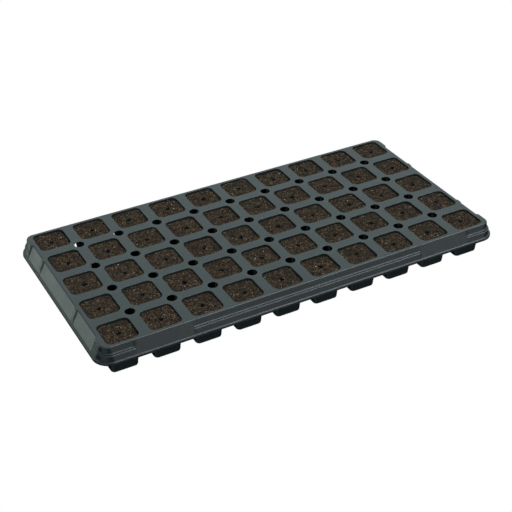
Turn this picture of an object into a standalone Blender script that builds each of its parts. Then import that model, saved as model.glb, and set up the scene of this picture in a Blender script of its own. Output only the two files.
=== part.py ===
"""Fifty-cell plug tray: one thermoformed plastic sheet holding fifty plugs of growing medium.

Units are metres. The origin is under the middle of the tray, on the plane its cell bottoms stand on.
+X runs along the long side, +Y across it and +Z up.
"""

import math

import bmesh
import bpy

# --- driving dimensions -------------------------------------------------------------------------
COLUMNS = 10
ROWS = 5
PITCH = 0.0508  # cell to cell, both ways
HEIGHT = 0.042  # underside of the cells to the top of the deck
SHEET = 0.0008  # thickness of the plastic sheet

DECK_HALF_LENGTH = 0.2524
DECK_HALF_WIDTH = 0.1244
DECK_CORNER_RADIUS = 0.009
LIP_CORNER_RADIUS = 0.020

CELL_HALF_TOP = 0.019  # half the width of a cell's square mouth
CELL_HALF_FLOOR = 0.0152
CELL_RADIUS_TOP = 0.007
CELL_RADIUS_FLOOR = 0.0042
CELL_CORNER_STEPS = 2

VENT_RADIUS = 0.0064
DRAIN_RADIUS = 0.0045
ROUND_HOLE_SIDES = 8

FIT_GAP = 0.0003  # between a plug and the cell around it
HEADSPACE = 0.0015  # deck down to the top of the plugs

# Skirt: how far each level stands out from the edge of the deck, for the five kinds of section.
# The short sides slope out further than the long ones.
# depth below the deck, long-side panel, long-side block, short-side panel, short-side block, lug
SKIRT_LEVELS = (
    (0.0000, 0.0000, 0.0000, 0.0000, 0.0026, 0.0014),
    (0.0076, 0.0022, 0.0010, 0.0036, 0.0040, 0.0050),
    (0.0096, 0.0028, 0.0038, 0.0046, 0.0056, 0.0059),
    (0.0166, 0.0048, 0.0048, 0.0080, 0.0080, 0.0080),
    (0.0169, 0.0064, 0.0064, 0.0098, 0.0098, 0.0098),
    (0.0200, 0.0066, 0.0066, 0.0106, 0.0106, 0.0106),
)
SKIRT_DEPTH = SKIRT_LEVELS[-1][0]
SIDE_PANEL, SIDE_BLOCK, END_PANEL, END_BLOCK, LUG = 1, 2, 3, 4, 5

CORNER_STEPS = 4  # segments in each rounded corner of the skirt
SIDE_CORNER_BLOCK = 0.222  # long side: the corner blocks start this far from the middle
SIDE_MIDDLE_BLOCK = 0.147  # long side: the middle block ends this far from the middle
SIDE_RAMP = 0.008
END_CORNER_BLOCK = 0.103  # short side: the corner blocks start this far from the middle
END_RAMP = 0.003
LUG_POSITIONS = (-0.0645, 0.0435)  # along a short side, going counter-clockwise seen from above
LUG_HALF_WIDTH = 0.0025
LUG_RAMP = 0.0008


def clear_scene():
    """Remove every object and the data that it leaves behind."""
    for obj in list(bpy.data.objects):
        bpy.data.objects.remove(obj, do_unlink=True)
    for store in (bpy.data.meshes, bpy.data.materials):
        for block in list(store):
            store.remove(block)


def make_material(name, colour, roughness, metallic=0.0):
    """A plain Principled material with the piece's own colour."""
    material = bpy.data.materials.new(name)
    material.use_nodes = True
    shader = material.node_tree.nodes["Principled BSDF"]
    shader.inputs["Base Color"].default_value = (*colour, 1.0)
    shader.inputs["Roughness"].default_value = roughness
    shader.inputs["Metallic"].default_value = metallic
    material.diffuse_color = (*colour, 1.0)
    return material


def finish_object(name, mesh, material):
    """Link a mesh to the scene as a named object with its material."""
    mesh.materials.clear()
    mesh.materials.append(material)
    obj = bpy.data.objects.new(name, mesh)
    bpy.context.scene.collection.objects.link(obj)
    return obj


# --- outlines -----------------------------------------------------------------------------------
def rounded_rectangle(half_x, half_y, radius, steps):
    """Points of a rounded rectangle about the origin, counter-clockwise, steps segments a corner."""
    points = []
    for quarter, (sx, sy) in enumerate(((1, 1), (-1, 1), (-1, -1), (1, -1))):
        for step in range(steps + 1):
            angle = math.radians(90.0 * (quarter + step / steps))
            x = sx * (half_x - radius) + radius * math.cos(angle)
            y = sy * (half_y - radius) + radius * math.sin(angle)
            points.append((x, y))
    return points


def regular_polygon(radius, sides):
    """Points of a round hole, counter-clockwise, its flats parallel to the sides of the tray."""
    points = []
    for step in range(sides):
        angle = 2.0 * math.pi * (step + 0.5) / sides
        points.append((radius * math.cos(angle), radius * math.sin(angle)))
    return points


def cell_section(z, inset=0.0):
    """Half width and corner radius of a cell's inside at height z, drawn in by inset."""
    share = (HEIGHT - z) / (HEIGHT - SHEET)
    half = CELL_HALF_TOP + share * (CELL_HALF_FLOOR - CELL_HALF_TOP)
    radius = CELL_RADIUS_TOP + share * (CELL_RADIUS_FLOOR - CELL_RADIUS_TOP)
    return half - inset, radius - inset


def cell_centres():
    """(row, column, x, y) of every cell, front row first, left to right."""
    for row in range(ROWS):
        for column in range(COLUMNS):
            x = (column - (COLUMNS - 1) / 2) * PITCH
            y = (row - (ROWS - 1) / 2) * PITCH
            yield row + 1, column + 1, x, y


def vent_centres():
    """Centres of the vent holes, one wherever four cells meet."""
    for row in range(ROWS - 1):
        for column in range(COLUMNS - 1):
            yield (column - (COLUMNS - 2) / 2) * PITCH, (row - (ROWS - 2) / 2) * PITCH


# --- skirt --------------------------------------------------------------------------------------
def side_stations():
    """(distance along, kind of section) on a long side, from one corner block to the other."""
    half = [
        (SIDE_MIDDLE_BLOCK, SIDE_BLOCK),
        (SIDE_MIDDLE_BLOCK + SIDE_RAMP, SIDE_PANEL),
        (SIDE_CORNER_BLOCK - SIDE_RAMP, SIDE_PANEL),
        (SIDE_CORNER_BLOCK, SIDE_BLOCK),
    ]
    return [(-along, kind) for along, kind in reversed(half)] + half


def end_stations():
    """(distance along, kind of section) on a short side, with its two stacking lugs."""
    stations = [(-END_CORNER_BLOCK, END_BLOCK), (-END_CORNER_BLOCK + END_RAMP, END_PANEL)]
    for middle in LUG_POSITIONS:
        foot = LUG_HALF_WIDTH + LUG_RAMP
        stations.append((middle - foot, END_PANEL))
        stations.append((middle - LUG_HALF_WIDTH, LUG))
        stations.append((middle + LUG_HALF_WIDTH, LUG))
        stations.append((middle + foot, END_PANEL))
    stations += [(END_CORNER_BLOCK - END_RAMP, END_PANEL), (END_CORNER_BLOCK, END_BLOCK)]
    return stations


def skirt_ring(level):
    """The skirt's outline at one level, counter-clockwise. Half of it turned by 180 degrees is the rest."""
    radius = DECK_CORNER_RADIUS
    radius += (LIP_CORNER_RADIUS - DECK_CORNER_RADIUS) * level[0] / SKIRT_DEPTH
    half = []
    for along, kind in end_stations():
        half.append((DECK_HALF_LENGTH + level[kind], along))
    centre_x = DECK_HALF_LENGTH + level[END_BLOCK] - radius
    centre_y = DECK_HALF_WIDTH + level[SIDE_BLOCK] - radius
    arc = []
    for step in range(CORNER_STEPS + 1):
        angle = math.radians(90.0 * step / CORNER_STEPS)
        arc.append((centre_x + radius * math.cos(angle), centre_y + radius * math.sin(angle)))
    half += arc
    for along, kind in side_stations():
        half.append((-along, DECK_HALF_WIDTH + level[kind]))
    half += [(-x, y) for x, y in reversed(arc)]
    return half + [(-x, -y) for x, y in half]


# --- tray ---------------------------------------------------------------------------------------
def add_ring(bm, points, z, centre=(0.0, 0.0)):
    """Vertices of a closed outline at height z."""
    return [bm.verts.new((x + centre[0], y + centre[1], z)) for x, y in points]


def ring_edges(bm, ring):
    """The edges round a ring of vertices, made where they are missing."""
    edges = []
    for one, other in zip(ring, ring[1:] + ring[:1]):
        edges.append(bm.edges.get((one, other)) or bm.edges.new((one, other)))
    return edges


def add_wall(bm, ring, next_ring):
    """A band of four-sided faces between two rings of the same count."""
    count = len(ring)
    for i in range(count):
        j = (i + 1) % count
        bm.faces.new((ring[i], next_ring[i], next_ring[j], ring[j]))


def fill_flat(bm, rings):
    """A flat face with holes: the first ring is its outline."""
    edges = []
    for ring in rings:
        edges += ring_edges(bm, ring)
    bmesh.ops.triangle_fill(bm, use_beauty=True, use_dissolve=False, edges=edges, normal=(0, 0, 1))


def add_cell(bm, centre):
    """One tapered cell with its floor and drain hole. Returns the ring round its mouth."""
    mouth_size, floor_size = cell_section(HEIGHT), cell_section(SHEET)
    mouth = add_ring(
        bm,
        rounded_rectangle(mouth_size[0], mouth_size[0], mouth_size[1], CELL_CORNER_STEPS),
        HEIGHT,
        centre,
    )
    floor = add_ring(
        bm,
        rounded_rectangle(floor_size[0], floor_size[0], floor_size[1], CELL_CORNER_STEPS),
        SHEET,
        centre,
    )
    drain = add_ring(bm, regular_polygon(DRAIN_RADIUS, ROUND_HOLE_SIDES), SHEET, centre)
    add_wall(bm, mouth, floor)
    fill_flat(bm, [floor, drain])
    return mouth


def make_tray(material):
    """The whole tray as one sheet, given its thickness on the hidden side."""
    bm = bmesh.new()
    skirt = [add_ring(bm, skirt_ring(level), HEIGHT - level[0]) for level in SKIRT_LEVELS]
    for ring, lower_ring in zip(skirt, skirt[1:]):
        add_wall(bm, ring, lower_ring)
    holes = [add_cell(bm, (x, y)) for _, _, x, y in cell_centres()]
    vent = regular_polygon(VENT_RADIUS, ROUND_HOLE_SIDES)
    holes += [add_ring(bm, vent, HEIGHT, centre) for centre in vent_centres()]
    fill_flat(bm, [skirt[0]] + holes)
    bmesh.ops.recalc_face_normals(bm, faces=bm.faces)
    deck_face = max(bm.faces, key=lambda face: (face.calc_center_median().z, face.calc_area()))
    if deck_face.normal.z < 0:
        bmesh.ops.reverse_faces(bm, faces=bm.faces)
    mesh = bpy.data.meshes.new("tray")
    bm.to_mesh(mesh)
    bm.free()
    tray = finish_object("tray", mesh, material)
    solidify = tray.modifiers.new("sheet", "SOLIDIFY")
    solidify.thickness = SHEET
    solidify.offset = -1.0
    solidify.use_even_offset = True
    solidify.use_rim = True
    return tray


# --- plugs --------------------------------------------------------------------------------------
def plug_mesh():
    """One plug of growing medium, its origin in the middle of its underside."""
    bottom_z = SHEET + FIT_GAP
    top_z = HEIGHT - HEADSPACE
    bm = bmesh.new()
    rings = []
    for z in (top_z, bottom_z):
        half, radius = cell_section(z, FIT_GAP)
        outline = rounded_rectangle(half, half, radius, CELL_CORNER_STEPS)
        rings.append(add_ring(bm, outline, z - bottom_z))
    add_wall(bm, *rings)
    for ring in rings:
        bm.faces.new(ring)
    bmesh.ops.recalc_face_normals(bm, faces=bm.faces)
    mesh = bpy.data.meshes.new("soil_plug")
    bm.to_mesh(mesh)
    bm.free()
    return mesh


def make_plugs(material):
    """A plug in every cell. They share one mesh."""
    mesh = plug_mesh()
    for row, column, x, y in cell_centres():
        plug = finish_object(f"soil_plug_r{row}_c{column:02d}", mesh, material)
        plug.location = (x, y, SHEET + FIT_GAP)


def main():
    """Build the tray and its plugs."""
    clear_scene()
    make_tray(make_material("slate_plastic", (0.035, 0.043, 0.046), 0.38))
    make_plugs(make_material("growing_medium", (0.045, 0.030, 0.020), 0.95))


main()
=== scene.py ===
import math
import random

import bmesh
import bpy
from mathutils import Matrix, Vector, noise
from mathutils.geometry import delaunay_2d_cdt


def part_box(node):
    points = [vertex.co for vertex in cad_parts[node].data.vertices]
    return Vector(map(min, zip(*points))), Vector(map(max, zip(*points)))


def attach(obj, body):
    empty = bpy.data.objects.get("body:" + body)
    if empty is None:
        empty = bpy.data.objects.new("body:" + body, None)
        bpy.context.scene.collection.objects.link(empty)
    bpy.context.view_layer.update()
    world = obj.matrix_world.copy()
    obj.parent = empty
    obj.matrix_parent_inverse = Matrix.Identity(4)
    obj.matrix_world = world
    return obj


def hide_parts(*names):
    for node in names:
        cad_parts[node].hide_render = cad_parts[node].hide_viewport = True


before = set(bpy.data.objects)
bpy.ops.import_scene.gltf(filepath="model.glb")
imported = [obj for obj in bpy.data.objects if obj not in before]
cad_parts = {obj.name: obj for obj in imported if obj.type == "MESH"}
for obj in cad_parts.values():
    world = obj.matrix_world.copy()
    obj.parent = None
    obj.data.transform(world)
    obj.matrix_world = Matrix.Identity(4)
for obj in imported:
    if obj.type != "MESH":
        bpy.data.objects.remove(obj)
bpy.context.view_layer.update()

# Units are metres, in the frame of the CAD model: the origin is under the middle of the tray, +X runs
# along its long side, +Y towards its back and +Z up.

# --- the layout, and sizes taken from the frame --------------------------------------------------
ROWS = 5
COLUMNS = 10


def plug_name(row, column):
    """Name of a plug's node and of its body. Row 1 is the front one, column 1 the left one."""
    return f"soil_plug_r{row}_c{column:02d}"


def box_middle(node):
    """The middle of a node's box at rest."""
    low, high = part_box(node)
    return (low + high) / 2


TRAY_TOP = round(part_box("tray")[1].z, 5)
TRAY_HALF_LENGTH = round(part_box("tray")[1].x, 5)
TRAY_HALF_WIDTH = round(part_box("tray")[1].y, 5)
PITCH = round((box_middle(plug_name(1, 2)) - box_middle(plug_name(1, 1))).x, 5)
PLUG_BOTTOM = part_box(plug_name(1, 1))[0].z
PLUG_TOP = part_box(plug_name(1, 1))[1].z

# --- the tray's own sizes -----------------------------------------------------------------------
SHEET = 0.0008
END_REACH = 0.0106  # how far the lip stands out from the edge of the deck on the short sides
SIDE_REACH = 0.0066  # and on the long sides
DECK_HALF_LENGTH = TRAY_HALF_LENGTH - END_REACH
DECK_HALF_WIDTH = TRAY_HALF_WIDTH - SIDE_REACH
DECK_CORNER_RADIUS = 0.009
LIP_CORNER_RADIUS = 0.020
SKIRT_DEPTH = 0.020

CELL_HALF_TOP = 0.019
CELL_HALF_FLOOR = 0.0152
CELL_RADIUS_TOP = 0.007
CELL_RADIUS_FLOOR = 0.0042
CELL_EDGE_CUT = 0.0004  # how far the rounding of a cell's mouth reaches from its corner
CELL_EDGE_START = 3 * CELL_EDGE_CUT  # the mouth's profile comes from this far out in the deck
CELL_UNDER_CUT = CELL_EDGE_CUT / 3
CELL_FLOOR_CUT = 0.0012
CELL_PROFILE_STEPS = 4
CELL_CORNER_STEPS = 8
CUP_CORNER_STEPS = 6  # the hidden side of a cell is a little coarser

VENT_RADIUS = 0.0060
VENT_BREAK = 0.00025  # the punched edge is broken by this much
DRAIN_RADIUS = 0.0045
ROUND_HOLE_SIDES = 28

# Corners of the skirt's profile in mm, as (distance out from the deck's edge, depth below the deck).
# Index by index they mean the same corner in each kind of section, so that one can turn into another.
SIDE_FOOT = ((4.8, 16.6), (6.4, 16.85), (6.6, 20.0))
SIDE_PANEL = ((0, 0), (2.02, 7.0), (2.28, 7.9), (2.72, 9.4), (3.01, 10.4), *SIDE_FOOT)
SIDE_BLOCK = ((0, 0), (1.0, 7.6), (2.4, 7.85), (2.5, 9.5), (3.9, 9.7), *SIDE_FOOT)
END_FOOT = ((8.0, 16.6), (9.8, 16.9), (10.6, 20.0))
END_PANEL = ((0, 0), (3.37, 7.0), (3.81, 7.9), (4.53, 9.4), (5.01, 10.4), *END_FOOT)
END_BLOCK = ((2.6, 0), (4.5, 7.5), (5.3, 7.7), (5.6, 9.5), (6.2, 9.7), *END_FOOT)
LUG = ((1.4, 0), (4.8, 7.0), (5.1, 7.9), (5.7, 9.4), (6.0, 10.4), *END_FOOT)
DECK_MARGIN = 2.6  # mm; the skirt's mesh starts this far inside the deck's edge
MILLIMETRE = 0.001

# How far each corner's rounding reaches, in mm: deck edge, four ledge corners, foot of the wall, lip
OUTER_CUTS = (1.3, 0.36, 0.48, 0.36, 0.52, 0.4, 0.65)
INNER_CUTS = (0.4, 0.55, 0.25, 0.55, 0.30, 0.7, 0.35)
OUTER_CORNER_STEPS = 4
INNER_CORNER_STEPS = 2

# Along a long side, counted from its middle, the middle block ends and a corner block begins at these,
# with a panel between them. A short side has no middle block, but two stacking lugs.
SIDE_MIDDLE_BLOCK = 0.147
SIDE_CORNER_BLOCK = 0.222
SIDE_RAMP = 0.005
END_CORNER_BLOCK = 0.103
END_RAMP = 0.003
LUG_POSITIONS = (-0.0645, 0.0435)  # going counter-clockwise round the tray, seen from above
LUG_HALF_WIDTH = 0.0025
LUG_RAMP = 0.0012
PLAN_CORNER_STEPS = 16
FINE_SPACING = 0.001
COARSE_SPACING = 0.012
RAMP_LENGTH_LIMIT = 0.0085  # stretches up to this long are ramps and get the fine spacing

# --- the plugs' own sizes -----------------------------------------------------------------------
PLUG_GAP = 0.00035
PLUG_CORNER_STEPS = 6
PLUG_EDGE_POINTS = 19
PLUG_SIDE_ROWS = 10
PLUG_EDGE_DROP = 0.0004
GRAIN_SPACING = 0.00078
GRAIN_JITTER = 0.3  # as a share of the spacing
GRAIN_INSET = 0.0009  # the grid of grains ends this far inside the plug's edge
HOLLOW_SHADE_DEPTH = 0.0013  # faces from this far below the medium's top are painted near-black, as shade in the holes and pits
UNDERSIDE_SPACING = 0.0026
UNDERSIDE_INSET = 0.0015
UNDERSIDE_RADIUS = 0.003
TOP_ALLOWANCE = 0.0003  # no grain of the surface stands further above the plug's top

# Relief of the medium as (height, size of one repeat)
SWELL = (0.00045, 0.0070)
LUMPS = (0.00085, 0.0021)
LUMP_MIDDLE = 0.45  # the Voronoi distance at which a lump crosses the surface's own level
GRIT = (0.00035, 0.0008)
COARSE_WEAR = (0.0003, 0.0022)
FINE_WEAR = (0.0002, 0.0009)
UNDERSIDE_RELIEF = (0.0004, 0.003)

# Ranges for each plug
SINK = (0.0003, 0.0010)  # how far its surface lies below the top of its node
TILT = 0.015
HOLE_SPREAD = 0.0009
HOLE_OFFSET = -0.0010  # the dibbled holes lie this far in front of the middle, on average
HOLE_RADIUS = (0.0019, 0.0026)
HOLE_DEPTH = (0.0060, 0.0085)
HOLE_RAGGEDNESS = (0.30, 0.0015)  # as a share of the radius, and the size of one repeat
HOLE_WALL = (0.75, 0.45)  # the wall starts at this share of the radius and is this share of it wide
PIT_COUNT = (8, 16)
PIT_REACH = 0.016
PIT_RADIUS = (0.0006, 0.0014)
PIT_DEPTH = (0.0008, 0.0020)
PIT_SLOPE = 1.3  # a pit's slope ends at this many of its radii

CRUMB_COUNT = (28, 40)
CRUMB_REACH = 0.0165
CRUMB_SIZE = (0.0003, 0.0009)
CRUMB_TILT = 0.6
CRUMB_RAGGEDNESS = (0.75, 1.15)
CRUMB_SHARE = 0.6  # the share of the crumbs that are like the surface; the others are bark
PALE_COUNTS = (0, 0, 1, 1, 1, 2, 3)
PALE_REACH = 0.0155
PALE_SIZE = (0.00035, 0.00080)
FIBRE_COUNT = (7, 13)
FIBRE_START_REACH = 0.0145
FIBRE_REACH = 0.0170
FIBRE_LENGTH = (0.0015, 0.0045)
FIBRE_THICKNESS = (0.00010, 0.00020)
FIBRE_BEND = 1.2
FIBRE_STEPS = 5
FIBRE_SIDES = 4


# --- mesh building ------------------------------------------------------------------------------
class MeshMaker:
    """Collects vertices and faces, then turns them into one object."""

    def __init__(self):
        self.points = []
        self.faces = []
        self.slots = []

    def ring(self, points):
        """Adds points and returns their numbers."""
        start = len(self.points)
        self.points.extend(tuple(point) for point in points)
        return list(range(start, len(self.points)))

    def face(self, corners, slot=0):
        """Adds one face with its material slot."""
        self.faces.append(tuple(corners))
        self.slots.append(slot)

    def band(self, ring, next_ring, slot=0):
        """Four-sided faces between two rings with the same number of points."""
        count = len(ring)
        for i in range(count):
            j = (i + 1) % count
            self.face((ring[i], ring[j], next_ring[j], next_ring[i]), slot)

    def bands(self, rings):
        """Bands between each ring and the next one."""
        for ring, next_ring in zip(rings, rings[1:]):
            self.band(ring, next_ring)

    def fill(self, outline, holes=(), loose=(), low_level=None, low_slot=0):
        """Triangles between an outline and its holes, through any loose points, as seen from above.

        Those with a corner below the low level get the low slot.
        """
        numbers = []
        edges = []
        hole_of = {}
        for loop in (outline, *holes):
            start = len(numbers)
            count = len(loop)
            numbers.extend(loop)
            edges += [(start + i, start + (i + 1) % count) for i in range(count)]
            if start:
                hole_of.update((start + i, start) for i in range(count))
        numbers.extend(loose)
        flat = [Vector(self.points[n][:2]) for n in numbers]
        _, _, triangles, origins, _, _ = delaunay_2d_cdt(flat, edges, [], 1, 1e-9)
        for triangle in triangles:
            corners = [origins[corner][0] for corner in triangle]
            touched = {hole_of.get(corner) for corner in corners}
            if len(touched) == 1 and None not in touched:
                continue  # inside a hole
            corners = [numbers[corner] for corner in corners]
            low = low_level is not None and min(self.points[corner][2] for corner in corners) < low_level
            self.face(corners, low_slot if low else 0)

    def build(self, name, materials, smooth=True):
        """One object with its faces pointing out."""
        mesh = bpy.data.meshes.new(name)
        mesh.from_pydata(self.points, [], self.faces)
        mesh.polygons.foreach_set("material_index", self.slots)
        bm = bmesh.new()
        bm.from_mesh(mesh)
        bmesh.ops.recalc_face_normals(bm, faces=bm.faces)
        bm.to_mesh(mesh)
        bm.free()
        for material in materials:
            mesh.materials.append(material)
        if smooth:
            mesh.shade_smooth()
        obj = bpy.data.objects.new(name, mesh)
        bpy.context.scene.collection.objects.link(obj)
        return obj


def smooth_step(share):
    """0 below 0, 1 above 1 and a smooth rise between."""
    share = min(max(share, 0.0), 1.0)
    return share * share * (3.0 - 2.0 * share)


def round_corners(points, cuts, steps):
    """A 2-D path with each inner corner rounded, from its cut before the corner to its cut after it."""
    corners = [Vector(point) for point in points]
    path = [corners[0]]
    for before, corner, after, cut in zip(corners, corners[1:], corners[2:], cuts):
        start = corner + (before - corner).normalized() * cut
        end = corner + (after - corner).normalized() * cut
        for step in range(steps + 1):
            t = step / steps
            path.append((1 - t) ** 2 * start + 2 * t * (1 - t) * corner + t * t * end)
    path.append(corners[-1])
    return path


def rounded_square(half, radius, steps, edge_points=0):
    """Points of a rounded square, counter-clockwise, with further points along its straight edges."""
    points = []
    reach = half - radius
    for quarter, (sx, sy) in enumerate(((1, 1), (-1, 1), (-1, -1), (1, -1))):
        for step in range(steps + 1):
            angle = math.radians(90.0 * (quarter + step / steps))
            points.append((sx * reach + radius * math.cos(angle), sy * reach + radius * math.sin(angle)))
        next_sx, next_sy = ((-1, 1), (-1, -1), (1, -1), (1, 1))[quarter]
        angle = math.radians(90.0 * (quarter + 1))
        start = Vector(points[-1])
        end = Vector((next_sx * reach + radius * math.cos(angle), next_sy * reach + radius * math.sin(angle)))
        for k in range(edge_points):
            points.append(tuple(start.lerp(end, (k + 1) / (edge_points + 1))))
    return points


def round_hole(radius, sides=ROUND_HOLE_SIDES):
    """Points of a round hole, counter-clockwise."""
    angles = [2.0 * math.pi * (step + 0.5) / sides for step in range(sides)]
    return [(radius * math.cos(angle), radius * math.sin(angle)) for angle in angles]


def lifted(points, z, centre=(0.0, 0.0)):
    """Flat points moved to a centre and a height."""
    return [(x + centre[0], y + centre[1], z) for x, y in points]


# --- cells --------------------------------------------------------------------------------------
def cell_wall(z):
    """Half width and corner radius of the inside of a cell at height z."""
    share = (TRAY_TOP - z) / (TRAY_TOP - SHEET)
    half = CELL_HALF_TOP + share * (CELL_HALF_FLOOR - CELL_HALF_TOP)
    radius = CELL_RADIUS_TOP + share * (CELL_RADIUS_FLOOR - CELL_RADIUS_TOP)
    return half, radius


def cell_outline(half, z, steps, edge_points=0):
    """A cell's outline where its section is half wide at height z: an even offset of its wall there."""
    wall_half, wall_radius = cell_wall(z)
    return rounded_square(half, wall_radius + half - wall_half, steps, edge_points)


def cell_centres():
    """(row, column, centre) of every cell."""
    for row in range(ROWS):
        for column in range(COLUMNS):
            x = (column - (COLUMNS - 1) / 2) * PITCH
            y = (row - (ROWS - 1) / 2) * PITCH
            yield row + 1, column + 1, (x, y)


def vent_centres():
    """The centre of every vent hole, one wherever four cells meet."""
    for row in range(ROWS - 1):
        for column in range(COLUMNS - 1):
            yield (column - (COLUMNS - 2) / 2) * PITCH, (row - (ROWS - 2) / 2) * PITCH


def cell_profiles():
    """Rounded sections of a cell's inside and outside, from the deck to the floor, as (half, z)."""
    slope = (CELL_HALF_TOP - CELL_HALF_FLOOR) / (TRAY_TOP - SHEET)
    side_shift = SHEET * math.hypot(1.0, slope)  # the sheet's thickness along X
    inside = (
        (CELL_HALF_TOP + CELL_EDGE_START, TRAY_TOP),
        (CELL_HALF_TOP, TRAY_TOP),
        (CELL_HALF_FLOOR, SHEET),
        (DRAIN_RADIUS, SHEET),
    )
    under_z = TRAY_TOP - SHEET
    outside = (
        (cell_wall(under_z)[0] + side_shift + CELL_EDGE_START, under_z),
        (cell_wall(under_z)[0] + side_shift, under_z),
        (cell_wall(0.0)[0] + side_shift, 0.0),
        (DRAIN_RADIUS, 0.0),
    )
    top = round_corners(inside, (CELL_EDGE_CUT, CELL_FLOOR_CUT), CELL_PROFILE_STEPS)
    under = round_corners(outside, (CELL_UNDER_CUT, CELL_FLOOR_CUT + SHEET), CELL_PROFILE_STEPS)
    return top[1:-1], under[1:-1]


def add_cell(maker, centre, profiles):
    """One cell of the tray, both sides of its sheet. Returns the mouth's rings in the two deck faces."""
    mouths = []
    drains = []
    sides = zip(profiles, (CELL_CORNER_STEPS, CUP_CORNER_STEPS), (SHEET, 0.0))
    for profile, steps, floor_z in sides:
        rings = []
        for half, z in profile:
            rings.append(maker.ring(lifted(cell_outline(half, z, steps), z, centre)))
        maker.bands(rings)
        drain = maker.ring(lifted(round_hole(DRAIN_RADIUS), floor_z, centre))
        maker.fill(rings[-1], [drain])
        mouths.append(rings[0])
        drains.append(drain)
    maker.band(*drains)
    return mouths


# --- skirt --------------------------------------------------------------------------------------
def mixed_section(panel, block, block_share, lug_share=0.0):
    """Corners of the skirt's profile where a panel turns into a block or a lug, from deck to lip."""
    corners = []
    for panel_corner, block_corner, lug_corner in zip(panel, block, LUG):
        point = Vector(panel_corner)
        point += block_share * (Vector(block_corner) - Vector(panel_corner))
        point += lug_share * (Vector(lug_corner) - Vector(panel_corner))
        corners.append(point)
    return [Vector((corners[0].x - DECK_MARGIN, 0.0))] + corners


def offset_path(path, distance):
    """The path moved to its inner side by an even distance, with mitred corners."""
    normals = []
    for start, end in zip(path, path[1:]):
        along = (end - start).normalized()
        normals.append(Vector((-along.y, along.x)))
    moved = []
    for point, before, after in zip(path, [normals[0]] + normals, normals + [normals[-1]]):
        moved.append(point + (before + after) * distance / (1.0 + before.dot(after)))
    moved[-1].y = path[-1].y
    return moved


def skirt_section(corners, outer):
    """The rounded profile of one side of the sheet, in metres, as (distance out, depth)."""
    if outer:
        path = round_corners(corners, OUTER_CUTS, OUTER_CORNER_STEPS)
    else:
        inner = offset_path(corners, SHEET / MILLIMETRE)
        path = round_corners(inner, INNER_CUTS, INNER_CORNER_STEPS)
    return [point * MILLIMETRE for point in path]


def spread(marks):
    """Places from the first mark to the last: close together in ramps, further apart elsewhere."""
    places = [marks[0]]
    for start, end in zip(marks, marks[1:]):
        gap = end - start
        spacing = FINE_SPACING if gap < RAMP_LENGTH_LIMIT else COARSE_SPACING
        count = max(2, round(gap / spacing))
        places += [start + gap * (i + 1) / count for i in range(count)]
    return places


def long_side_sections(outer):
    """(distance along, profile) of the skirt on a long side."""
    half = [
        SIDE_MIDDLE_BLOCK,
        SIDE_MIDDLE_BLOCK + SIDE_RAMP,
        SIDE_CORNER_BLOCK - SIDE_RAMP,
        SIDE_CORNER_BLOCK,
    ]
    sections = []
    for along in spread([-mark for mark in reversed(half)] + half):
        to_middle = 1.0 - (abs(along) - SIDE_MIDDLE_BLOCK) / SIDE_RAMP
        to_corner = 1.0 - (SIDE_CORNER_BLOCK - abs(along)) / SIDE_RAMP
        share = smooth_step(max(to_middle, to_corner))
        sections.append((along, skirt_section(mixed_section(SIDE_PANEL, SIDE_BLOCK, share), outer)))
    return sections


def short_side_sections(outer):
    """(distance along, profile) of the skirt on a short side, with its two stacking lugs."""
    marks = [-END_CORNER_BLOCK, -END_CORNER_BLOCK + END_RAMP]
    for middle in LUG_POSITIONS:
        foot = LUG_HALF_WIDTH + LUG_RAMP
        marks += [middle - foot, middle - LUG_HALF_WIDTH, middle + LUG_HALF_WIDTH, middle + foot]
    marks += [END_CORNER_BLOCK - END_RAMP, END_CORNER_BLOCK]
    sections = []
    for along in spread(marks):
        block = smooth_step(1.0 - (END_CORNER_BLOCK - abs(along)) / END_RAMP)
        nearest = min(abs(along - middle) for middle in LUG_POSITIONS)
        lug = smooth_step(1.0 - (nearest - LUG_HALF_WIDTH) / LUG_RAMP)
        corners = mixed_section(END_PANEL, END_BLOCK, block, lug)
        sections.append((along, skirt_section(corners, outer)))
    return sections


def skirt_columns(outer):
    """The skirt's profiles all the way round, counter-clockwise, each a list of 3-D points."""
    half = []
    for along, section in short_side_sections(outer):
        half.append([(DECK_HALF_LENGTH + out, along, TRAY_TOP - depth) for out, depth in section])
    end_section = skirt_section(mixed_section(END_PANEL, END_BLOCK, 1.0), outer)
    side_section = skirt_section(mixed_section(SIDE_PANEL, SIDE_BLOCK, 1.0), outer)
    arc = []
    for step in range(PLAN_CORNER_STEPS + 1):
        share = step / PLAN_CORNER_STEPS
        angle = math.radians(90.0 * share)
        column = []
        for (end_out, end_depth), (side_out, side_depth) in zip(end_section, side_section):
            depth = end_depth + share * (side_depth - end_depth)
            grown = (LIP_CORNER_RADIUS - DECK_CORNER_RADIUS) * depth / SKIRT_DEPTH
            radius = DECK_CORNER_RADIUS + grown
            x = DECK_HALF_LENGTH + end_out - radius + radius * math.cos(angle)
            y = DECK_HALF_WIDTH + side_out - radius + radius * math.sin(angle)
            column.append((x, y, TRAY_TOP - depth))
        arc.append(column)
    half += arc
    for along, section in long_side_sections(outer):
        half.append([(-along, DECK_HALF_WIDTH + out, TRAY_TOP - depth) for out, depth in section])
    half += [[(-x, y, z) for x, y, z in column] for column in reversed(arc)]
    return half + [[(-x, -y, z) for x, y, z in column] for column in half]


def add_skirt(maker, outer):
    """One side of the skirt. Returns the ring in the deck's face and the ring at the lip."""
    rings = [maker.ring(points) for points in zip(*skirt_columns(outer))]
    maker.bands(rings)
    return rings[0], rings[-1]


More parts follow.
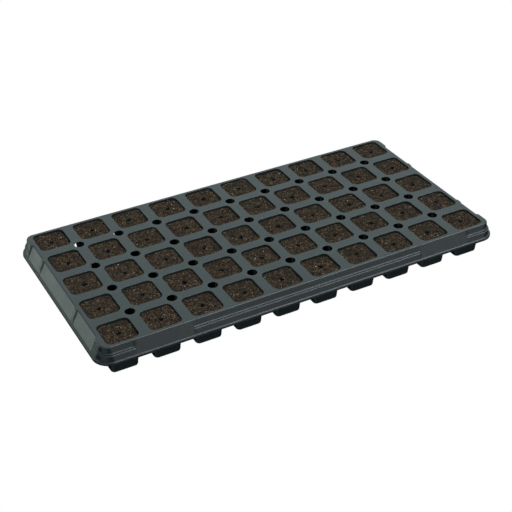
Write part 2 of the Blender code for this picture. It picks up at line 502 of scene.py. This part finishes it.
# --- tray ---------------------------------------------------------------------------------------
def make_tray(material):
    """The whole tray as one closed sheet."""
    maker = MeshMaker()
    deck_outline, lip = add_skirt(maker, True)
    under_outline, under_lip = add_skirt(maker, False)
    maker.band(lip, under_lip)
    deck_holes = []
    under_holes = []
    profiles = cell_profiles()
    for _, _, centre in cell_centres():
        mouth, under_mouth = add_cell(maker, centre, profiles)
        deck_holes.append(mouth)
        under_holes.append(under_mouth)
    for centre in vent_centres():
        edge = maker.ring(lifted(round_hole(VENT_RADIUS + VENT_BREAK), TRAY_TOP, centre))
        wall = maker.ring(lifted(round_hole(VENT_RADIUS), TRAY_TOP - VENT_BREAK, centre))
        under = maker.ring(lifted(round_hole(VENT_RADIUS), TRAY_TOP - SHEET, centre))
        maker.bands([edge, wall, under])
        deck_holes.append(edge)
        under_holes.append(under)
    maker.fill(deck_outline, deck_holes)
    maker.fill(under_outline, under_holes)
    tray = maker.build("plug_tray_sheet", [material])
    shading = tray.modifiers.new("even_shading", "WEIGHTED_NORMAL")
    shading.keep_sharp = True
    return tray


# --- plugs --------------------------------------------------------------------------------------
# The last slot is the near-black painted shade for faces deep in the dibbled hole and pits.
SURFACE, PALE, FIBRE, BARK, HOLLOW_SHADE = range(5)  # material slots


def somewhere(rng, reach):
    """A place up to reach from the middle along each axis."""
    return rng.uniform(-reach, reach), rng.uniform(-reach, reach)


def grid_points(inside_half, inside_radius, spacing, rng):
    """Jittered grid points inside a rounded square."""
    points = []
    count = int(inside_half / spacing) + 1
    reach = inside_half - inside_radius
    for i in range(-count, count + 1):
        for j in range(-count, count + 1):
            x = (i + rng.uniform(-GRAIN_JITTER, GRAIN_JITTER)) * spacing
            y = (j + rng.uniform(-GRAIN_JITTER, GRAIN_JITTER)) * spacing
            beyond = math.hypot(max(abs(x) - reach, 0.0), max(abs(y) - reach, 0.0))
            if beyond < inside_radius:
                points.append((x, y))
    return points


def relief(kind, place):
    """Noise of one kind, up to its height above and below 0."""
    height, size = kind
    return height * noise.noise(place / size)


class PlugSurface:
    """The height of one plug's crumbly top, with its dibbled hole and some small pits."""

    def __init__(self, rng, seed_point):
        self.seed_point = seed_point
        self.level = PLUG_TOP - rng.uniform(*SINK)
        self.tilt = somewhere(rng, TILT)
        self.hole = (rng.gauss(0.0, HOLE_SPREAD), rng.gauss(HOLE_OFFSET, HOLE_SPREAD))
        self.hole_radius = rng.uniform(*HOLE_RADIUS)
        self.hole_depth = rng.uniform(*HOLE_DEPTH)
        self.pits = []
        for _ in range(rng.randint(*PIT_COUNT)):
            place = somewhere(rng, PIT_REACH)
            self.pits.append((place, rng.uniform(*PIT_RADIUS), rng.uniform(*PIT_DEPTH)))

    def height(self, x, y):
        """Height at a place counted from the plug's middle."""
        place = Vector((x, y, 0.0)) + self.seed_point
        z = self.level + self.tilt[0] * x + self.tilt[1] * y
        z += relief(SWELL, place)
        z += LUMPS[0] * (LUMP_MIDDLE - noise.voronoi(place / LUMPS[1])[0][0])
        z += relief(GRIT, place)
        ragged = 1.0 + relief(HOLE_RAGGEDNESS, place)
        away = math.hypot(x - self.hole[0], y - self.hole[1]) / (self.hole_radius * ragged)
        wall_start, wall_width = HOLE_WALL
        z -= self.hole_depth * (1.0 - smooth_step((away - wall_start) / wall_width))
        for (pit_x, pit_y), radius, depth in self.pits:
            away = math.hypot(x - pit_x, y - pit_y) / radius
            z -= depth * (1.0 - smooth_step(away / PIT_SLOPE))
        return min(z, PLUG_TOP + TOP_ALLOWANCE)


def add_body(maker, surface, rng, centre):
    """The plug's own body: ragged sides, crumbly top and a coarser underside."""
    rings = []
    for row in range(PLUG_SIDE_ROWS + 1):
        share = row / PLUG_SIDE_ROWS
        z = PLUG_TOP - PLUG_EDGE_DROP + share * (PLUG_BOTTOM - PLUG_TOP + PLUG_EDGE_DROP)
        half = cell_wall(z)[0] - PLUG_GAP
        rise = z - PLUG_BOTTOM
        if rise < CELL_FLOOR_CUT:
            lean = 1.0 - rise / CELL_FLOOR_CUT
            half -= CELL_FLOOR_CUT * (1.0 - math.sqrt(max(1.0 - lean * lean, 0.0)))
        outline = cell_outline(half, z, PLUG_CORNER_STEPS, PLUG_EDGE_POINTS)
        points = []
        for x, y in outline:
            place = Vector((x, y, z)) + surface.seed_point
            wear = abs(relief(COARSE_WEAR, place)) + abs(relief(FINE_WEAR, place))
            inward = 1.0 - wear / half
            height = min(surface.height(x, y), PLUG_TOP) if row == 0 else z
            points.append((centre[0] + x * inward, centre[1] + y * inward, height))
        rings.append(maker.ring(points))
    maker.bands(rings)
    top_half, top_radius = cell_wall(PLUG_TOP)
    inset = PLUG_GAP + GRAIN_INSET
    loose = grid_points(top_half - inset, top_radius - inset, GRAIN_SPACING, rng)
    points = [(centre[0] + x, centre[1] + y, surface.height(x, y)) for x, y in loose]
    # Faces with a corner below this level, deep in the hole and pits, get the near-black painted shade.
    hollow_shade_level = surface.level - HOLLOW_SHADE_DEPTH
    maker.fill(rings[0], loose=maker.ring(points), low_level=hollow_shade_level, low_slot=HOLLOW_SHADE)
    low_half = cell_wall(PLUG_BOTTOM)[0] - CELL_FLOOR_CUT - UNDERSIDE_INSET
    loose = grid_points(low_half, UNDERSIDE_RADIUS, UNDERSIDE_SPACING, rng)
    points = []
    for x, y in loose:
        lift = abs(relief(UNDERSIDE_RELIEF, Vector((x, y, 0.0)) + surface.seed_point))
        points.append((centre[0] + x, centre[1] + y, PLUG_BOTTOM + lift))
    maker.fill(rings[-1], loose=maker.ring(points))


ICO_POINTS = []
ICO_FACES = []


def prepare_crumb():
    """The corners and faces of the small solid that every crumb is shaped from."""
    bm = bmesh.new()
    bmesh.ops.create_icosphere(bm, subdivisions=1, radius=1.0)
    ICO_POINTS.extend(vertex.co.copy() for vertex in bm.verts)
    ICO_FACES.extend(tuple(vertex.index for vertex in face.verts) for face in bm.faces)
    bm.free()


def add_crumb(maker, rng, place, sizes, slot):
    """One irregular crumb, chip or grain."""
    turn = Matrix.Rotation(rng.uniform(0, math.tau), 3, "Z")
    turn = turn @ Matrix.Rotation(rng.uniform(-CRUMB_TILT, CRUMB_TILT), 3, "X")
    points = []
    for corner in ICO_POINTS:
        ragged = rng.uniform(*CRUMB_RAGGEDNESS)
        shaped = Vector((corner.x * sizes[0], corner.y * sizes[1], corner.z * sizes[2])) * ragged
        points.append(turn @ shaped + place)
    numbers = maker.ring(points)
    for face in ICO_FACES:
        maker.face([numbers[corner] for corner in face], slot)


def add_fibre(maker, rng, surface, centre, length, thickness, slot):
    """A thin bent fibre lying on the surface."""
    angle = rng.uniform(0, math.tau)
    bend = rng.uniform(-FIBRE_BEND, FIBRE_BEND)
    x, y = somewhere(rng, FIBRE_START_REACH)
    path = []
    for _ in range(FIBRE_STEPS + 1):
        path.append((x, y))
        x += math.cos(angle) * length / FIBRE_STEPS
        y += math.sin(angle) * length / FIBRE_STEPS
        angle += bend / FIBRE_STEPS
        x = min(max(x, -FIBRE_REACH), FIBRE_REACH)
        y = min(max(y, -FIBRE_REACH), FIBRE_REACH)
    rise = thickness * 0.6  # so that the fibre lies on the grains, not in them
    level = sum(surface.height(*point) for point in path) / len(path) + rise
    rings = []
    for k, (px, py) in enumerate(path):
        before, after = path[max(k - 1, 0)], path[min(k + 1, FIBRE_STEPS)]
        along = Vector((after[0] - before[0], after[1] - before[1], 0.0))
        if along.length < 1e-6:
            along = Vector((1.0, 0.0, 0.0))
        across = along.normalized().cross(Vector((0, 0, 1)))
        radius = thickness * (0.4 if k in (0, FIBRE_STEPS) else 1.0)
        height = 0.5 * level + 0.5 * (surface.height(px, py) + rise)
        middle = Vector((centre[0] + px, centre[1] + py, height))
        corners = []
        for side in range(FIBRE_SIDES):
            angle = math.tau * side / FIBRE_SIDES
            up = Vector((0, 0, math.sin(angle) * radius))
            corners.append(middle + across * (math.cos(angle) * radius) + up)
        rings.append(maker.ring(corners))
    for ring, next_ring in zip(rings, rings[1:]):
        maker.band(ring, next_ring, slot)
    maker.face(rings[0], slot)
    maker.face(rings[-1], slot)


def scatter(maker, surface, rng, centre):
    """Loose crumbs, bark, fibres and a few pale grains on top of a plug."""
    for _ in range(rng.randint(*CRUMB_COUNT)):
        x, y = somewhere(rng, CRUMB_REACH)
        size = rng.uniform(*CRUMB_SIZE)
        place = Vector((centre[0] + x, centre[1] + y, surface.height(x, y) + size * 0.2))
        sizes = (size * rng.uniform(0.8, 1.4), size, size * rng.uniform(0.5, 0.9))
        add_crumb(maker, rng, place, sizes, SURFACE if rng.random() < CRUMB_SHARE else BARK)
    for _ in range(rng.choice(PALE_COUNTS)):
        x, y = somewhere(rng, PALE_REACH)
        size = rng.uniform(*PALE_SIZE)
        place = Vector((centre[0] + x, centre[1] + y, surface.height(x, y) + size * 0.4))
        add_crumb(maker, rng, place, (size * 1.2, size, size * 0.8), PALE)
    for _ in range(rng.randint(*FIBRE_COUNT)):
        length = rng.uniform(*FIBRE_LENGTH)
        thickness = rng.uniform(*FIBRE_THICKNESS)
        add_fibre(maker, rng, surface, centre, length, thickness, FIBRE)


def make_plug(row, column, centre, materials):
    """One plug of growing medium, with its own grain."""
    rng = random.Random(1000 * row + column)
    seed_point = Vector((rng.uniform(0, 1), rng.uniform(0, 1), rng.uniform(0, 1)))
    surface = PlugSurface(rng, seed_point)
    maker = MeshMaker()
    add_body(maker, surface, rng, centre)
    scatter(maker, surface, rng, centre)
    name = plug_name(row, column)
    plug = maker.build(f"medium_r{row}_c{column:02d}", materials)
    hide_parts(name)
    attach(plug, name)


# --- materials ----------------------------------------------------------------------------------
class Shader:
    """A short way to write a material's nodes."""

    def __init__(self, name):
        self.material = bpy.data.materials.new(name)
        self.material.use_nodes = True
        self.tree = self.material.node_tree
        self.principled = self.tree.nodes["Principled BSDF"]
        self.place = self.node("ShaderNodeTexCoord").outputs["Object"]

    def node(self, kind, settings=None, **inputs):
        """Adds a node. Inputs are values or sockets, by the input's name with _ for a space."""
        made = self.tree.nodes.new(kind)
        for key, value in (settings or {}).items():
            setattr(made, key, value)
        for key, value in inputs.items():
            self.feed(made.inputs[key.replace("_", " ")], value)
        return made

    def feed(self, socket, value):
        """Links a socket to an input, or sets the input's value."""
        if isinstance(value, bpy.types.NodeSocket):
            self.tree.links.new(value, socket)
        else:
            socket.default_value = value

    def noise(self, scale, detail=3.0, roughness=0.55, distortion=0.0, vector=None):
        """A noise value, its scale in repeats per metre."""
        made = self.node(
            "ShaderNodeTexNoise",
            Vector=vector or self.place,
            Scale=scale,
            Detail=detail,
            Roughness=roughness,
            Distortion=distortion,
        )
        return made.outputs["Fac"]

    def voronoi(self, scale, output="Distance"):
        """A Voronoi value, or the colour of the nearest cell, its scale in repeats per metre."""
        return self.node("ShaderNodeTexVoronoi", Vector=self.place, Scale=scale).outputs[output]

    def stretched(self, scale):
        """Coordinates multiplied by a factor on each axis, so that noise gives streaks along the lowest."""
        return self.node("ShaderNodeMapping", Vector=self.place, Scale=scale).outputs["Vector"]

    def remap(self, value, low, high, to_low=0.0, to_high=1.0):
        """A value moved from one range to another, and held inside it."""
        made = self.node("ShaderNodeMapRange", Value=value)
        for index, limit in enumerate((low, high, to_low, to_high)):
            made.inputs[index + 1].default_value = limit
        return made.outputs["Result"]

    def math(self, operation, one, other):
        """One arithmetic step."""
        made = self.node("ShaderNodeMath", {"operation": operation})
        self.feed(made.inputs[0], one)
        self.feed(made.inputs[1], other)
        return made.outputs[0]

    def mix(self, share, one, other, blend="MIX"):
        """Two colours mixed."""
        made = self.node("ShaderNodeMix", {"data_type": "RGBA", "blend_type": blend})
        self.feed(made.inputs["Factor"], share)
        colours = [socket for socket in made.inputs if socket.type == "RGBA"]
        self.feed(colours[0], one)
        self.feed(colours[1], other)
        return [socket for socket in made.outputs if socket.type == "RGBA"][0]

    def grey(self, value):
        """The value as a colour."""
        return self.node("ShaderNodeCombineColor", Red=value, Green=value, Blue=value).outputs["Color"]

    def ramp(self, value, stops):
        """A colour ramp through (position, colour) stops."""
        made = self.node("ShaderNodeValToRGB", Fac=value)
        elements = made.color_ramp.elements
        while len(elements) < len(stops):
            elements.new(0.5)
        for element, (position, colour) in zip(elements, stops):
            element.position = position
            element.color = (*colour, 1.0)
        return made.outputs["Color"]

    def bump(self, height, distance, strength=1.0, normal=None):
        """A bump whose height of 0 to 1 stands for a distance in metres."""
        made = self.node("ShaderNodeBump", Height=height, Distance=distance, Strength=strength)
        if normal:
            self.feed(made.inputs["Normal"], normal)
        return made.outputs["Normal"]

    def set(self, **inputs):
        """Feeds the Principled shader's inputs."""
        for key, value in inputs.items():
            self.feed(self.principled.inputs[key.replace("_", " ")], value)
        return self.material


# Slow waves, orange peel and fine grain of the sheet, as (repeats per metre, height)
SHEET_RELIEF = ((38.0, 0.00022), (520.0, 0.000035), (2600.0, 0.000012))


def slate_plastic():
    """Thermoformed sheet: satin, faintly uneven, with fine scratches, rubbed edges and a little dust."""
    shader = Shader("slate_plastic_sheet")
    base = shader.mix(shader.noise(45.0, 3.0), (0.011, 0.021, 0.023, 1), (0.017, 0.028, 0.030, 1))
    tone = shader.remap(shader.noise(14.0, 4.0), 0.3, 0.7, 0.88, 1.12)
    toned = shader.mix(1.0, base, shader.grey(tone), "MULTIPLY")
    pointiness = shader.node("ShaderNodeNewGeometry").outputs["Pointiness"]
    edge = shader.remap(pointiness, 0.515, 0.58)
    rubbed = shader.math("MULTIPLY", edge, shader.remap(shader.noise(160.0, 4.0), 0.35, 0.65, 0.2, 0.8))
    edged = shader.mix(rubbed, toned, (0.050, 0.062, 0.068, 1))
    specks = shader.remap(shader.noise(900.0, 2.0), 0.70, 0.78, 0.0, 0.25)
    dusty = shader.math("MULTIPLY", specks, shader.remap(shader.noise(30.0, 3.0), 0.42, 0.62))
    colour = shader.mix(dusty, edged, (0.085, 0.070, 0.055, 1))
    long_scratches = shader.noise(1.0, 2.0, vector=shader.stretched((60.0, 2400.0, 60.0)))
    cross_scratches = shader.noise(1.0, 2.0, vector=shader.stretched((2000.0, 90.0, 90.0)))
    scratches = shader.math(
        "MAXIMUM",
        shader.remap(long_scratches, 0.66, 0.74),
        shader.remap(cross_scratches, 0.68, 0.76),
    )
    rough = shader.remap(shader.noise(70.0, 4.0, 0.6), 0.3, 0.7, 0.25, 0.33)
    rough = shader.math("ADD", rough, shader.math("MULTIPLY", scratches, 0.10))
    rough = shader.math("ADD", rough, shader.math("MULTIPLY", dusty, 0.30))
    normal = None
    for scale, height in SHEET_RELIEF:
        normal = shader.bump(shader.noise(scale, 2.0), height, normal=normal)
    return shader.set(Base_Color=colour, Roughness=rough, IOR=1.50, Normal=normal)


GRAIN_SCALE = 800.0  # grains of the medium per metre
# Colours of the grains, as (share of the grains up to here, colour)
GRAIN_STOPS = (
    (0.00, (0.0040, 0.0030, 0.0021)),
    (0.28, (0.0140, 0.0103, 0.0062)),
    (0.60, (0.0380, 0.0276, 0.0165)),
    (0.86, (0.0650, 0.0460, 0.0265)),
    (0.97, (0.1700, 0.1200, 0.0700)),
)


def growing_medium():
    """Moist peat and coir: small dark and light brown grains with fine fibres."""
    shader = Shader("peat_and_coir")
    grains = shader.voronoi(GRAIN_SCALE, "Color")
    value = shader.node("ShaderNodeSeparateColor", Color=grains).outputs["Red"]
    grain_colour = shader.ramp(value, GRAIN_STOPS)
    fine = shader.remap(shader.noise(2.2 * GRAIN_SCALE, 4.0, 0.7), 0.30, 0.70, 0.40, 1.56)
    fine_colour = shader.mix(1.0, grain_colour, shader.grey(fine), "MULTIPLY")
    patches = shader.remap(shader.noise(150.0, 4.0), 0.40, 0.66, 0.0, 0.75)
    damp = shader.mix(patches, fine_colour, (0.012, 0.009, 0.006, 1))
    hairs = shader.noise(1.0, 1.0, distortion=2.5, vector=shader.stretched((260.0, 1500.0, 700.0)))
    more_hairs = shader.noise(1.0, 1.0, distortion=2.5, vector=shader.stretched((1500.0, 260.0, 700.0)))
    fibrous = shader.math("MAXIMUM", shader.remap(hairs, 0.68, 0.73), shader.remap(more_hairs, 0.69, 0.74))
    colour = shader.mix(shader.math("MULTIPLY", fibrous, 0.55), damp, (0.130, 0.090, 0.050, 1))
    lumps = shader.bump(shader.voronoi(GRAIN_SCALE), 0.0005, strength=0.9)
    crumbs = shader.bump(shader.noise(1900.0, 4.0, 0.7), 0.0004, strength=0.9, normal=lumps)
    rough = shader.remap(shader.noise(300.0), 0.3, 0.7, 0.78, 1.0)
    return shader.set(Base_Color=colour, Roughness=rough, Normal=crumbs, Specular_IOR_Level=0.15)


def crumb_material(name, dark, light, scale):
    """A loose grain, chip or fibre of one kind, or the near-black painted shade deep in the holes and pits.
    """
    shader = Shader(name)
    colour = shader.mix(shader.noise(scale, 3.0), (*dark, 1), (*light, 1))
    bumps = shader.bump(shader.noise(scale * 2.5, 3.0), 0.0002, strength=0.7)
    return shader.set(Base_Color=colour, Roughness=0.85, Normal=bumps, Specular_IOR_Level=0.3)


def medium_materials():
    """The plug's own surface, pale grains, fibres, bark, and near-black painted shade for the medium deep in
    its hole and pits.
    """
    return [
        growing_medium(),
        crumb_material("pale_grains", (0.30, 0.25, 0.18), (0.80, 0.74, 0.62), 900.0),
        crumb_material("coir_fibres", (0.07, 0.046, 0.024), (0.22, 0.150, 0.080), 500.0),
        crumb_material("bark_crumbs", (0.008, 0.006, 0.004), (0.050, 0.034, 0.020), 800.0),
        # Painted shade: a near-black medium for the faces deep in the dibbled hole and pits.
        crumb_material("painted_hollow_shade", (0.0015, 0.0011, 0.0008), (0.0050, 0.0036, 0.0026), 900.0),
    ]


# --- floor, light and camera --------------------------------------------------------------------
FLOOR_HALF_SIZE = 60.0
FLOOR_DROP = 0.0002
FLOOR_STRENGTH = 1.0
# The floor is dark in a rectangle deep under the tray, and fully bright from a fade's width outside it.
SHADE_STRENGTH = 0.004
SHADE_HALF_LENGTH = 0.230
SHADE_HALF_WIDTH = 0.083
SHADE_FADE = 0.015

DOME_FADE = (-0.22, 0.02)  # the dome's light fades in over this range of the direction's Z
DOME_COLOUR = (0.44, 0.44, 0.44)
# Panels of light: azimuth, elevation, radius of full strength, outer radius (degrees), colour
LIGHT_PANELS = (
    (62.0, 34.0, 24.0, 44.0, (0.40, 0.51, 0.49)),
    (-18.0, 63.0, 12.0, 21.0, (7.2, 7.4, 7.9)),
    (127.0, -9.0, 9.0, 19.0, (1.18, 1.44, 1.30)),
    (-66.0, -12.0, 15.0, 28.0, (0.70, 0.70, 0.72)),
    (208.0, -12.0, 18.0, 45.0, (0.40, 0.43, 0.44)),
)

CAMERA_LENS = 77.8  # mm, on a sensor 36 mm wide
CAMERA_SENSOR = 36.0
CAMERA_AZIMUTH = math.radians(-28.38)
CAMERA_ELEVATION = math.radians(34.07)
CAMERA_ROLL = math.radians(-0.51)
CAMERA_DISTANCE = 1.2997
CAMERA_TARGET = Vector((-0.03089, -0.04903, TRAY_TOP))


def make_floor():
    """A plain white floor, evenly bright, but dark deep under the tray, where no light would reach it."""
    maker = MeshMaker()
    corners = [(-1, -1), (1, -1), (1, 1), (-1, 1)]
    maker.face(maker.ring([(x * FLOOR_HALF_SIZE, y * FLOOR_HALF_SIZE, -FLOOR_DROP) for x, y in corners]))
    shader = Shader("pale_floor")
    beyond = shader.place
    half_sizes = (SHADE_HALF_LENGTH, SHADE_HALF_WIDTH, 1.0)
    for operation, other in (("ABSOLUTE", None), ("SUBTRACT", half_sizes), ("MAXIMUM", (0.0, 0.0, 0.0))):
        step = shader.node("ShaderNodeVectorMath", {"operation": operation})
        shader.feed(step.inputs[0], beyond)
        if other:
            shader.feed(step.inputs[1], other)
        beyond = step.outputs["Vector"]
    length = shader.node("ShaderNodeVectorMath", {"operation": "LENGTH"})
    shader.feed(length.inputs[0], beyond)
    fade = shader.node("ShaderNodeMapRange", {"interpolation_type": "SMOOTHSTEP"})
    shader.feed(fade.inputs["Value"], length.outputs["Value"])
    fade.inputs["From Max"].default_value = SHADE_FADE
    fade.inputs["To Min"].default_value = SHADE_STRENGTH
    fade.inputs["To Max"].default_value = FLOOR_STRENGTH
    glow = shader.node("ShaderNodeEmission", Color=(1.0, 1.0, 1.0, 1), Strength=fade.outputs["Result"])
    shader.feed(shader.tree.nodes["Material Output"].inputs["Surface"], glow.outputs[0])
    floor = maker.build("floor", [shader.material], smooth=False)
    floor.visible_diffuse = False
    floor.visible_glossy = False
    floor.visible_shadow = False


def heading(azimuth, elevation):
    """The unit vector towards an azimuth and an elevation in degrees, the azimuth from +X towards +Y."""
    around, up = math.radians(azimuth), math.radians(elevation)
    return math.cos(around) * math.cos(up), math.sin(around) * math.cos(up), math.sin(up)


def make_world():
    """Soft studio light: a dim dome, which fades out below the horizon, and soft-edged panels of light.

    The camera itself sees a plain backdrop, as bright as the floor.
    """
    world = bpy.data.worlds.new("studio")
    bpy.context.scene.world = world
    world.use_nodes = True
    tree = world.node_tree
    direction = tree.nodes.new("ShaderNodeTexCoord").outputs["Generated"]

    def vector_step(operation, one, other, output="Vector"):
        """One step of vector arithmetic."""
        made = tree.nodes.new("ShaderNodeVectorMath")
        made.operation = operation
        for index, value in enumerate((one, other)):
            if isinstance(value, bpy.types.NodeSocket):
                tree.links.new(value, made.inputs[index])
            else:
                made.inputs[index].default_value = value
        return made.outputs[output]

    def soft_edge(value, low, high, colour):
        """The colour, faded in as the value goes from low to high."""
        made = tree.nodes.new("ShaderNodeMapRange")
        made.data_type = "FLOAT"
        made.interpolation_type = "SMOOTHSTEP"
        tree.links.new(value, made.inputs["Value"])
        made.inputs["From Min"].default_value = low
        made.inputs["From Max"].default_value = high
        scaled = tree.nodes.new("ShaderNodeVectorMath")
        scaled.operation = "SCALE"
        scaled.inputs[0].default_value = colour
        tree.links.new(made.outputs["Result"], scaled.inputs["Scale"])
        return scaled.outputs["Vector"]

    height = vector_step("DOT_PRODUCT", direction, (0.0, 0.0, 1.0), "Value")
    total = soft_edge(height, *DOME_FADE, DOME_COLOUR)
    for azimuth, elevation, inner, outer, colour in LIGHT_PANELS:
        nearness = vector_step("DOT_PRODUCT", direction, heading(azimuth, elevation), "Value")
        low, high = math.cos(math.radians(outer)), math.cos(math.radians(inner))
        total = vector_step("ADD", total, soft_edge(nearness, low, high, colour))
    light = tree.nodes["Background"]
    tree.links.new(total, light.inputs["Color"])
    backdrop = tree.nodes.new("ShaderNodeBackground")
    backdrop.inputs["Color"].default_value = (FLOOR_STRENGTH, FLOOR_STRENGTH, FLOOR_STRENGTH, 1.0)
    seen = tree.nodes.new("ShaderNodeMixShader")
    tree.links.new(tree.nodes.new("ShaderNodeLightPath").outputs["Is Camera Ray"], seen.inputs[0])
    tree.links.new(light.outputs[0], seen.inputs[1])
    tree.links.new(backdrop.outputs[0], seen.inputs[2])
    tree.links.new(seen.outputs[0], tree.nodes["World Output"].inputs["Surface"])


def make_camera():
    """The camera, seen from the front left and above."""
    data = bpy.data.cameras.new("camera")
    data.lens = CAMERA_LENS
    data.sensor_width = CAMERA_SENSOR
    data.sensor_fit = "HORIZONTAL"
    data.clip_start = 0.01
    data.clip_end = 50.0
    camera = bpy.data.objects.new("camera", data)
    bpy.context.scene.collection.objects.link(camera)
    level = math.cos(CAMERA_ELEVATION)
    back = Vector((
        math.sin(CAMERA_AZIMUTH) * level,
        -math.cos(CAMERA_AZIMUTH) * level,
        math.sin(CAMERA_ELEVATION),
    ))
    right = Vector((math.cos(CAMERA_AZIMUTH), math.sin(CAMERA_AZIMUTH), 0.0))
    up = back.cross(right)
    rolled_right = math.cos(CAMERA_ROLL) * right + math.sin(CAMERA_ROLL) * up
    rolled_up = math.cos(CAMERA_ROLL) * up - math.sin(CAMERA_ROLL) * right
    turn = Matrix((rolled_right, rolled_up, back)).transposed()
    camera.matrix_world = Matrix.Translation(CAMERA_TARGET + back * CAMERA_DISTANCE) @ turn.to_4x4()
    bpy.context.scene.camera = camera


# --- everything together ------------------------------------------------------------------------
prepare_crumb()
tray = make_tray(slate_plastic())
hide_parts("tray")
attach(tray, "tray")

medium = medium_materials()
for row, column, centre in cell_centres():
    make_plug(row, column, centre, medium)

make_floor()
make_world()
make_camera()
bpy.context.scene.view_settings.view_transform = "Standard"
